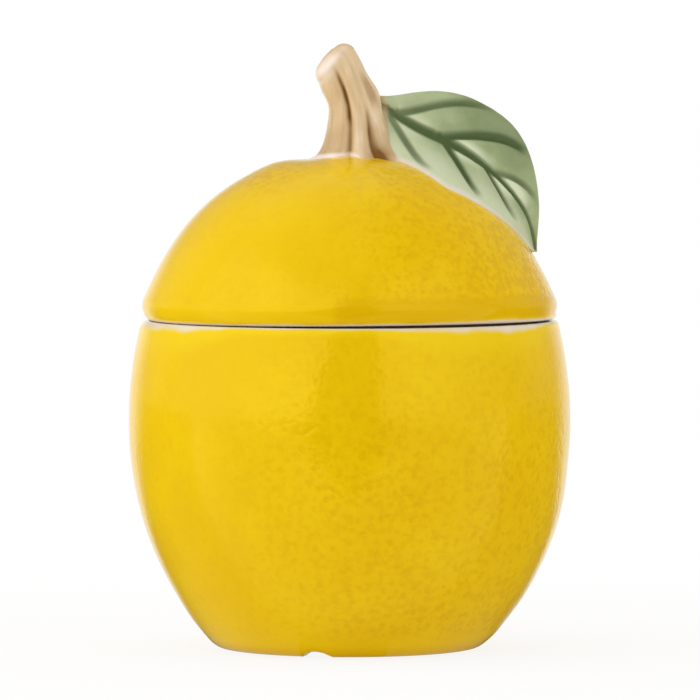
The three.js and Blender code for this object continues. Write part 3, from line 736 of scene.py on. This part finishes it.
def buildStem(s):
    turn = np.linspace(0, 2 * np.pi, s["around"], endpoint=False)
    angle = math.radians(s["fluteTurn"]) + turn
    phase = np.interp(np.degrees(turn), s["grooveTurns"], np.arange(len(s["grooveTurns"])))
    sharp = (1 - np.abs(np.sin(np.pi * phase))) ** s["fluteSharp"]
    number = (np.round(phase) % (len(s["grooveTurns"]) - 1)).astype(int)  # the groove that is nearest
    strength = np.array(s["grooveStrength"])[number]
    fadeAt = np.array(s["grooveTop"])[number]
    dies, before, after = s["grooveEnd"]
    rise = s["rise"]
    low, high = (share * rise for share in s["swellShare"])
    grid, stainAndShade, edge = [], [], []
    for h, drawIn, raised in stemRings(s):
        share, shift = stemLean(h)
        tilt = math.radians(s["endTilt"]) * share
        flare = math.exp(-max(h, -s["flareFade"]) / s["flareFade"])
        swell = s["swell"] * ease(h, low, high)
        spur = facing(angle, *s["spurAt"]) * (
            s["spur"] * (1 - ease(h, *s["spurTop"])) + s["spurFoot"] * math.exp(-max(0, h) / s["spurFade"]))
        toe = s["toe"] * facing(angle, *s["toeAt"]) * math.exp(-max(0, h - s["toeTop"]) / s["toeFade"])
        bud = s["bud"] * facing(angle, *s["budAt"]) * bump(h, *s["budHeight"])
        foot = s["foot"] * facing(angle, *s["footAt"]) * math.exp(-max(0, h - s["footTop"]) / s["footFade"])
        lip = s["lip"] * ease(h, *s["lipRise"]) * ease(-np.cos(angle), *s["lipLeft"])
        radius = s["radius"] + s["flare"] * flare + swell + spur + bud + toe + foot + lip
        fade = 1 - s["fluteFade"] * ease(h, low, rise)
        local = 1 - dies * ease(h, fadeAt - before, fadeAt + after)
        depth = (s["fluteDepth"] + s["fluteRoot"] * flare) * fade * strength * local
        ripple = 0.1 * softNoise(angle * 9, h * 0.25, 0, 3) + 0.05 * softNoise(angle * 23, h * 0.3, 1, 7)
        ripple = ripple * (1 - ease(h, rise - 4, rise))
        reach = (radius - depth * sharp + ripple) * drawIn
        along = reach * np.cos(angle)
        x = shift + along * math.cos(tilt) - raised * math.sin(tilt)
        y = reach * np.sin(angle)
        z = crown + h + along * math.sin(tilt) + raised * math.cos(tilt)
        z = np.maximum(z, domeHeight(x, y) - s["bedded"])
        grid.append(np.stack([x, y, z], -1))
        # stain lies in the grooves; the front one pales downwards
        line = np.clip(sharp * 2.0 - np.where(number == 1, 1.05, 0.78), 0, 1) * strength * local
        line = line * drawIn ** 3 * np.where(number == 0, 0.42 + 0.58 * ease(h, 6, 10), 1)
        line = line * (0.75 + 0.25 * softNoise(angle * 4, h * 0.6, 2, 5))
        # painted shade down the upper right side, and painted shade at the foot on the left
        side, width, much = s["rightEdgeShade"]
        rightEdgeShade = much * facing(angle, side, width)
        rightEdgeShade = rightEdgeShade * ease(h, *s["rightEdgeShadeFrom"]) * (1 - ease(h, *s["rightEdgeShadeTo"]))
        shade = s["dull"] * (1 - ease(h, *s["footShadeTop"])) * ease(-np.cos(angle), *s["footShadeLeft"])
        stainAndShade.append(np.maximum(line, rightEdgeShade + shade))
        # stain breaks pale round the eased end; the extra pale on the shoulder that faces left and up is a
        # painted highlight
        ending = abs(raised - 0.45 * s["endRound"]) + max(0, rise - 0.6 - h)
        ending = 0.52 + 0.22 * ending + 0.45 * (1 + np.cos(angle - 0.7))
        # and pale down the crests of the spur and of the ridge beside it
        crest = sum(much * facing(angle, side, width) for side, width, much in s["crests"])
        crest = 1.35 - 0.8 * crest * (1 - ease(h, *s["crestTop"]))
        # and where the stem meets the dome, but not beside the leaf
        rested = z - domeHeight(x, y) + 4 * ease(np.cos(angle + 0.5), 0.5, 0.8)
        edge.append(np.minimum.reduce([rested, ending, crest]))
    grid = np.array(grid)
    # brown at the foot of the right-hand flute and up the near side of the spur: pooled stain, and a painted
    # shadow under the spur
    across, slant, wide, tall = s["spot"]
    above = np.maximum(0, grid[..., 2] - crown)
    spot = bump(grid[..., 0], across - slant * above, wide) * np.exp(-above / tall) * (grid[..., 1] < 0)
    stainAndShade = np.clip(np.array(stainAndShade) + 0.9 * spot, 0, 1)
    values = {"stainAndShade": (stainAndShade, [0, 0]), "edge": (np.array(edge) + 6 * spot, [20, 20])}
    return formedPiece("stem_stalk", grid, values, stemStain("stemStain", stemLook))


# leaf: a cupped blade on a bent midrib, luted to the dome along its lower edge
leafShape = {
    "rootShare": 0.59, "rootOut": 0.75, "rootBack": 2.0, "tipInset": 5.9, "tipHover": 1.2,
    "launch": 0.307, "launchDrop": 28.0, "launchForward": 33.0,
    "landing": 0.406, "landingDrop": 83.9, "landingBack": 27.0,
    "upper": 15.3, "taper": 1.8, "skew": 1.05, "nip": (0.05, 0.76, 0.11),
    "lower": 19.0, "lobe": 17.0, "fullness": 2.4, "rootSlant": 0.189, "rootWidth": 2.0, "tipWidth": 0.6,
    "leanRoot": 13.9, "lean": 45.0, "settle": 0.516, "cup": 13.0, "sunk": 0.7, "middle": 3.4, "edge": 1.4,
    # each side vein as (share, side) where it leaves the midrib, is pulled to and ends, its width and depth
    "veins": (
        ((0.16, 0), (0.3, 0.75), (0.48, 0.97), 0.95, 0.8),
        ((0.38, 0), (0.53, 0.56), (0.66, 0.92), 1.15, 1.0),
        ((0.62, 0), (0.7, 0.3), (0.82, 0.85), 0.8, 0.8),
        ((0.095, 0), (0.195, -0.46), (0.345, -0.62), 0.82, 0.8),
        ((0.355, 0), (0.525, -0.4), (0.635, -0.52), 0.92, 1.0),
        ((0.56, 0), (0.69, -0.2), (0.84, -0.38), 0.6, 0.95)),
    # midrib's width as (least, more, share, reach) and sag as (side, share, reach)
    "ribWidth": (0.6, 1.0, 0.38, 0.24), "ribSag": (0.065, 0.28, 0.18), "ribEnd": 0.985, "ribHollow": 2.8,
    "veinDepth": 0.5, "hollowDepth": 0.6, "thinTip": (0.8, 1),
    # how pale along the lower edge, the painted highlight on the lips and the painted light near the root;
    # stain from the stem as (much, from, to); painted shade towards the right
    "edgePale": 0.72, "lipHighlight": 1.4, "rootLight": 0.35, "rootStain": (0.85, 1.2, 3.0), "rightShade": 0.42,
    "along": 190, "around": 200,
}


def heading(drop, forward, length):
    drop, forward = math.radians(drop), math.radians(forward)
    return length * np.array([
        math.cos(drop) * math.cos(forward), -math.sin(forward), -math.sin(drop) * math.cos(forward)])


def leafSpine(s):
    rise = stemShape["rise"] * s["rootShare"]
    middle = stemLean(rise)[1]
    root = np.array([middle + stemShape["radius"] * s["rootOut"], s["rootBack"], crown + rise])
    reach = lidRadius - s["tipInset"]
    tip = np.array([reach, 0, float(domeHeight(reach, 0)) + s["tipHover"]])
    span = np.linalg.norm(tip - root)
    return [root, root + heading(s["launchDrop"], s["launchForward"], span * s["launch"]),
            tip - heading(s["landingDrop"], -s["landingBack"], span * s["landing"]), tip]


leafRib = leafSpine(leafShape)


def bladePlace(s, share, side):
    # share runs from root to tip, side from the luted edge (-1) to the free edge (1), as arrays of one size
    share = share + s["rootSlant"] * np.maximum(0, -side) ** 1.3 * (1 - share) ** 3
    middle, run = bend(share[..., None], leafRib)
    square = np.stack([-run[..., 2], np.zeros_like(share), run[..., 0]], -1)
    square = square / np.linalg.norm(square, axis=-1, keepdims=True)
    settled = np.minimum(1, share / s["settle"])[..., None]
    up = np.array([0.0, 0, 1]) * (1 - settled) + square * settled
    up = up / np.linalg.norm(up, axis=-1, keepdims=True)
    least = s["rootWidth"] + (s["tipWidth"] - s["rootWidth"]) * share
    upper = least + s["upper"] * np.sin(np.pi * np.clip(share, 0, 1) ** s["skew"]) ** s["taper"] \
        * (1 - s["nip"][0] * bump(share, *s["nip"][1:]))
    body = s["lobe"] + (s["lower"] - s["lobe"]) * ease(share, 0, 0.5)
    lower = s["tipWidth"] + body * (1 - np.maximum(0, 2 * share - 1) ** s["fullness"])
    width = np.where(side > 0, upper, lower)
    lean = np.radians(s["leanRoot"] + (s["lean"] - s["leanRoot"]) * ease(share, 0, s["settle"]))
    cup = math.radians(s["cup"])
    turn = lean - cup * side
    back = np.array([0.0, 1, 0])
    spot = middle + up * (width * (np.sin(lean) - np.sin(turn)) / cup)[..., None] \
        + back * (width * (np.cos(turn) - np.cos(lean)) / cup)[..., None]
    face = up * np.sin(turn)[..., None] - back * np.cos(turn)[..., None]
    return spot, face


def buildLeaf(s):
    share = np.linspace(0, 1, s["along"])
    # where the blade's middle surface meets the dome, so that the lower edge lies on it
    trial = np.linspace(0, -1.1, 221)
    spot, _ = bladePlace(s, np.repeat(share[:, None], 221, 1), np.repeat(trial[None], s["along"], 0))
    above = spot[..., 2] - domeHeight(spot[..., 0], spot[..., 1]) + s["sunk"]
    meets = np.where((above < 0).any(1), trial[np.argmax(above < 0, axis=1)], -1.0)
    meets = np.convolve(np.pad(meets, 4, "edge"), np.ones(9) / 9, "valid")
    phase = np.linspace(0, 2 * np.pi, s["around"], endpoint=False)
    side = np.cos(phase)[None] * np.ones((s["along"], 1))
    side = np.where(side < 0, -side * meets[:, None], side)
    shares = np.repeat(share[:, None], s["around"], 1)
    spot, face = bladePlace(s, shares, side)
    thin = 1 - 0.5 * ease(shares, *s["thinTip"])
    swell = np.abs(np.sin(phase))[None]
    half = (s["edge"] * swell ** 0.5 + (s["middle"] - s["edge"]) * swell) / 2 * thin
    upperFace = (np.sin(phase) >= 0)[None] * np.ones((s["along"], 1))

    def veinLine(line):
        # each point's distance from a vein, in millimetres, how far along the vein it is, and whether it is
        # on the side of the tip
        at = np.linspace(0, 1, 150)
        path, _ = bladePlace(s, *line(at))
        away = np.linalg.norm(spot[:, :, None, :] - path[None, None], axis=-1)
        near = away.argmin(-1)
        return away.min(-1), at[near], ease(shares - line(at)[0][near], -0.015, 0.015)

    sag, *sagAt = s["ribSag"]
    rib, ribAlong, _ = veinLine(lambda a: (a * s["ribEnd"], -sag * bump(a, *sagAt)))
    least, more, *moreAt = s["ribWidth"]
    ribWide = least + more * bump(ribAlong, *moreAt)
    vein = 1 - ease(rib / ribWide, 0.4, 1.3)
    valley = bump(rib, 0, s["ribHollow"])
    wedge = 0
    for start, pull, end, wide, strong in s["veins"]:
        away, far, past = veinLine(lambda a: [
            (1 - a) ** 2 * start[q] + 2 * a * (1 - a) * pull[q] + a ** 2 * end[q] for q in (0, 1)])
        keep = strong * (1 - 0.9 * far ** 5)
        soft = 0.8 if end[1] > 0 else 0.3
        vein = np.maximum(vein, (1 - ease(away / wide, 0.4, 1.3 + soft * (1 - past))) * keep)
        # the hollow falls away gently on the side of the root and steeply on the side of the tip
        valley = np.maximum(valley, bump(away, 0, 1.5 + 1.5 * (1 - past)) * keep)
        # painted highlight on the lip along the midrib, just past each side vein
        lip = ease(rib / ribWide, 0.8, 1.4) * (1 - ease(rib, 1.5, 4.5))
        lip = lip * (1 - ease(shares - start[0], 0.08, 0.26))
        wedge = np.maximum(wedge, lip * past * (side * end[1] > 0) * min(1, 0.3 + 1.4 * start[0]))
    vein = vein * upperFace
    valley = valley * upperFace
    ripple = 0.06 * softNoise(spot[..., 0] * 0.9, spot[..., 1] * 0.9, spot[..., 2] * 0.9, 11)
    sunk = s["veinDepth"] * vein + s["hollowDepth"] * valley * np.minimum(1, half)
    points = spot + face * np.where(upperFace > 0, half - sunk + ripple, -half)[..., None]
    # pale along both edges: the lower one by its height above the dome that it is luted to
    free = (1 - np.abs(np.cos(phase)))[None] * 14 + 1.5
    high = np.maximum(0, points[..., 2] - domeHeight(points[..., 0], points[..., 1]))
    edge = np.where(np.cos(phase)[None] > 0, free, high)
    # paler towards the lower edge, with a painted highlight on the lips and painted light on the upper side
    # near the root
    pale = s["edgePale"] * ease(-np.cos(phase), 0.0, 0.8)[None] + s["lipHighlight"] * wedge \
        + s["rootLight"] * (1 - ease(shares, 0.1, 0.45)) * ease(side, 0.05, 0.4)
    pale = np.clip(pale, 0, 1) * upperFace
    # stain from the stem runs a little way on to the blade
    middle = stemLean(points[..., 2] - crown)[1]
    away = np.hypot(points[..., 0] - middle, points[..., 1]) - stemShape["radius"]
    much, *fades = s["rootStain"]
    root = much * (1 - ease(away, *fades))
    deep = ease(shares, 0.02, 0.2) * (1 - 0.75 * ease(shares, 0.6, 0.95))  # paler at both ends of the blade
    # painted shade: darker to the right, and in the hollows beside the veins
    far = s["rightShade"] * ease(side, 0.15, 0.7) * ease(shares, 0.3, 0.5) * (1 - ease(shares, 0.6, 0.78))
    wash = np.clip(far * upperFace + 0.16 * valley * deep, 0, 1) * (1 - np.clip(wedge, 0, 1))
    shade = np.clip(vein * (0.66 + 0.28 * deep) + wash, 0, 1)
    # vein carries the glaze pooled in the veins and the painted shade
    values = {"vein": shade, "edge": edge, "pale": pale, "root": root}
    values = {key: (column, [0, 0]) for key, column in values.items()}
    return formedPiece("leaf_blade", points, values, leafGlazed("leafGlaze", leafLook))


jarShell = buildJar(jarShape)
lidShell = buildLid(lidShape)
stemStalk = buildStem(stemShape)
leafBlade = buildLeaf(leafShape)

for piece, body, node, slot in (
        (jarShell, "jar", "jar_body", "jar_glaze"),
        (lidShell, "lid", "lid_dome", "lid_glaze"),
        (stemStalk, "lid", "stem", "stem_stain"),
        (leafBlade, "lid", "leaf", "leaf_glaze")):
    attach(piece, body)
    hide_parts(node)
print("pieces ride and replace their nodes")


# camera: long lens from the front, a little above the rim
view = {"distance": 1.9, "height": 0.162, "aimHeight": 0.074, "aimSide": 0.00012, "angle": 5.245}
cameraData = bpy.data.cameras.new("photoCamera")
cameraData.sensor_width = 36.0
cameraData.lens = 18.0 / math.tan(math.radians(view["angle"] / 2))
cameraData.clip_end = 200
camera = bpy.data.objects.new("photoCamera", cameraData)
camera.location = (view["aimSide"], -view["distance"], view["height"])
downward = math.atan2(view["height"] - view["aimHeight"], view["distance"])
camera.rotation_euler = (math.pi / 2 - downward, 0, 0)
scene.collection.objects.link(camera)
scene.camera = camera

# two wide softboxes either side of the camera and a weaker one overhead; the glaze mirrors the room below
sideBox = {"lift": 24, "far": 0.9, "size": (2.2, 0.95)}
lamps = {
    "leftBox": {**sideBox, "turn": -78, "level": 1.07, "colour": (1, 1, 1)},
    "rightBox": {**sideBox, "turn": 78, "level": 0.545, "colour": (1, 0.92, 0.84)},
    "topBox": {"turn": 0, "lift": 80, "far": 1.3, "size": (1.5, 1.3), "level": 0.62, "colour": (1, 1, 1)},
}
for name, lamp in lamps.items():
    data = bpy.data.lights.new(name, "AREA")
    data.shape = "RECTANGLE"
    data.size, data.size_y = lamp["size"]
    data.color = lamp["colour"]
    data.energy = lamp["level"] * math.pi * lamp["size"][0] * lamp["size"][1]
    box = bpy.data.objects.new(name, data)
    turn, lift = math.radians(lamp["turn"]), math.radians(lamp["lift"])
    aim = np.array([math.sin(turn) * math.cos(lift), -math.cos(turn) * math.cos(lift), math.sin(lift)])
    box.location = aim * lamp["far"] + np.array([0, 0, 0.07])
    box.rotation_euler = (math.pi / 2 - lift, 0, turn)
    box.visible_camera = False
    box.visible_glossy = False
    scene.collection.objects.link(box)

# what the glaze mirrors: lit walls at both sides, an unlit gap round the camera between them, a softer
# ceiling, dark corners further back and a white wall behind the jar
room = {
    "dim": 0.53, "dark": 0.15, "corner": 0.3, "white": 0.95, "glow": 1.1, "glowStart": (0.1, 0.7),
    "left": 1.85, "right": 1.5, "ceiling": 0.6, "ceilingRight": 0.35,
    "gapLeft": (-0.385, -0.36), "gapRight": (0.262, 0.287), "gapLean": 0.45, "wallTop": (0.7, 0.86),
    "sides": (-0.3, 0.3), "leftEnd": (-0.5, 0.6), "rightEnd": (-0.2, 0.75),
    "cornerStart": (-0.25, 0.35), "ceilingStart": (0.5, 0.85), "ceilingSide": (0.05, 0.35),
    "back": (0.6, 0.96), "backTop": (0.05, 0.3), "backFade": 0.35,
}


def makeRoom(look):
    tree, given, out = startGroup("mirroredRoom", "ShaderNodeTree", [("Direction", "Vector", None)],
                                  [("Level", "Float"), ("Behind", "Float"), ("Glow", "Float")])
    aim = vectors(tree, "NORMALIZE", {0: given["Direction"]})[0]
    full = place(tree, "ShaderNodeSeparateXYZ", None, {0: aim}).outputs
    level = vectors(tree, "NORMALIZE", {0: vectors(tree, "MULTIPLY", {0: aim, 1: (1, -1, 0)})[0]})[0]
    flat = place(tree, "ShaderNodeSeparateXYZ", None, {0: level}).outputs
    # the gap narrows upwards from the left
    upright = times(tree, sums(tree, "MAXIMUM", full["Z"], 0.0), look["gapLean"])
    gap = times(tree, ranged(tree, sums(tree, "SUBTRACT", flat["X"], upright), *look["gapLeft"]),
                ranged(tree, flat["X"], *look["gapRight"], 1.0, 0.0))
    left = ranged(tree, flat["Y"], *look["leftEnd"], 0.0, look["left"], "LINEAR")
    right = ranged(tree, flat["Y"], *look["rightEnd"], 0.0, look["right"], "LINEAR")
    walls = mixedValue(tree, ranged(tree, flat["X"], *look["sides"]), left, right)
    walls = times(tree, walls, sums(tree, "SUBTRACT", 1.0, gap))
    walls = times(tree, walls, ranged(tree, full["Z"], *look["wallTop"], 1.0, 0.0))
    walls = sums(tree, "MAXIMUM", walls, ranged(tree, flat["Y"], *look["cornerStart"], look["corner"], 0.0))
    ceiling = ranged(tree, full["Z"], *look["ceilingStart"], 0.0, look["ceiling"])
    toRight = ranged(tree, full["X"], *look["ceilingSide"], 1.0, look["ceilingRight"])
    ceiling = times(tree, ceiling, toRight)
    behind = ranged(tree, full["Y"], *look["back"], 0.0, look["white"])
    upwards = ranged(tree, full["Z"], *look["backTop"], 1.0, look["backFade"])
    behind = times(tree, behind, upwards)
    glow = ranged(tree, full["Y"], *look["glowStart"], look["dim"], look["glow"])
    level = sums(tree, "MAXIMUM", sums(tree, "MAXIMUM", walls, ceiling),
                 sums(tree, "MAXIMUM", behind, look["dark"]))
    tree.links.new(level, out["Level"])
    tree.links.new(behind, out["Behind"])
    tree.links.new(glow, out["Glow"])
    return tree


mirroredRoom = makeRoom(room)

# the camera itself sees plain white
world = bpy.data.worlds.new("whiteRoom")
scene.world = world
world.use_nodes = True
tree = world.node_tree
around = useGroup(tree, mirroredRoom, {"Direction": place(tree, "ShaderNodeTexCoord").outputs["Generated"]})
ray = place(tree, "ShaderNodeLightPath").outputs
seen = mixedValue(tree, ray["Is Glossy Ray"], around["Glow"], around["Level"])
background = tree.nodes["Background"].inputs
tree.links.new(sums(tree, "MAXIMUM", seen, ray["Is Camera Ray"]), background["Strength"])
background["Color"].default_value = (1, 1, 1, 1)

# floor: white to the camera away from the jar, with the jar's soft shadow close to it; in the glaze it
# carries on the walls, is lit close in front of the jar, and is white behind its flanks
floorLook = {
    "size": 60.0, "paint": (238, 237, 235), "near": 0.08, "far": 0.3, "whiteNear": 0.84,
    "bounce": 0.5, "bounceRear": 1.0, "bounceFrom": (-0.04, 0.02),
    "rear": (-0.02, 0.04), "rearWide": (0.035, 1.6), "rearStart": (0.0, 0.02), "rearLevel": 0.9,
    "litNear": (-0.17, -0.13), "litSpread": 1.6, "litStart": (-0.05, -0.03), "litLevel": 0.8, "gloss": 0.2,
}
half = floorLook["size"] / 2
floorMesh = bpy.data.meshes.new("studioFloor")
corners = [(-half, -half, 0), (half, -half, 0), (half, half, 0), (-half, half, 0)]
floorMesh.from_pydata(corners, [], [(0, 1, 2, 3)])
floor = bpy.data.objects.new("studioFloor", floorMesh)
floor.location = (0, 0, -0.0001)
scene.collection.objects.link(floor)
paint = bpy.data.materials.new("floorPaint")
paint.use_nodes = True
tree = paint.node_tree
tree.nodes.remove(tree.nodes["Principled BSDF"])
where = place(tree, "ShaderNodeTexCoord").outputs["Object"]
away = vectors(tree, "LENGTH", {0: where})["Value"]
white = ranged(tree, away, floorLook["near"], floorLook["far"], floorLook["whiteNear"], 1.0)
ray = place(tree, "ShaderNodeLightPath").outputs
spot = place(tree, "ShaderNodeSeparateXYZ", None, {0: where}).outputs
bounce = ranged(tree, spot["Y"], *floorLook["bounceFrom"], floorLook["bounce"], floorLook["bounceRear"])
share = mixedValue(tree, ray["Is Camera Ray"], bounce, white)
matt = place(tree, "ShaderNodeBsdfDiffuse", None, {"Color": tint(*floorLook["paint"])})
glow = place(tree, "ShaderNodeEmission", None, {"Color": (1, 1, 1, 1), "Strength": 1.0})
blend = place(tree, "ShaderNodeMixShader", None, {0: share, 1: matt.outputs[0], 2: glow.outputs[0]})
around = useGroup(tree, mirroredRoom, {"Direction": where})
wide = times(tree, sums(tree, "ABSOLUTE", spot["X"]), floorLook["litSpread"])
nearby = sums(tree, "ADD", spot["Y"], wide)
close = times(tree, ranged(tree, nearby, *floorLook["litNear"], 0.0, floorLook["litLevel"]),
              ranged(tree, spot["Y"], *floorLook["litStart"], 1.0, 0.0))
sheen = sums(tree, "MAXIMUM", close, times(tree, around["Level"], floorLook["gloss"]))
beside = sums(tree, "SUBTRACT", sums(tree, "ABSOLUTE", spot["X"]), floorLook["rearWide"][0])
rear = sums(tree, "SUBTRACT", spot["Y"], times(tree, beside, floorLook["rearWide"][1]))
rear = times(tree, ranged(tree, rear, *floorLook["rear"], 0.0, floorLook["rearLevel"]),
             ranged(tree, spot["Y"], *floorLook["rearStart"]))
sheen = sums(tree, "MAXIMUM", sheen, sums(tree, "MAXIMUM", rear, around["Behind"]))
gleam = place(tree, "ShaderNodeEmission", None, {"Color": (1, 1, 1, 1), "Strength": sheen})
mirror = place(tree, "ShaderNodeMixShader", None, {
    0: ray["Is Glossy Ray"], 1: blend.outputs[0], 2: gleam.outputs[0]})
tree.links.new(mirror.outputs[0], tree.nodes["Material Output"].inputs["Surface"])
floorMesh.materials.append(paint)
print("camera, lamps and floor set")
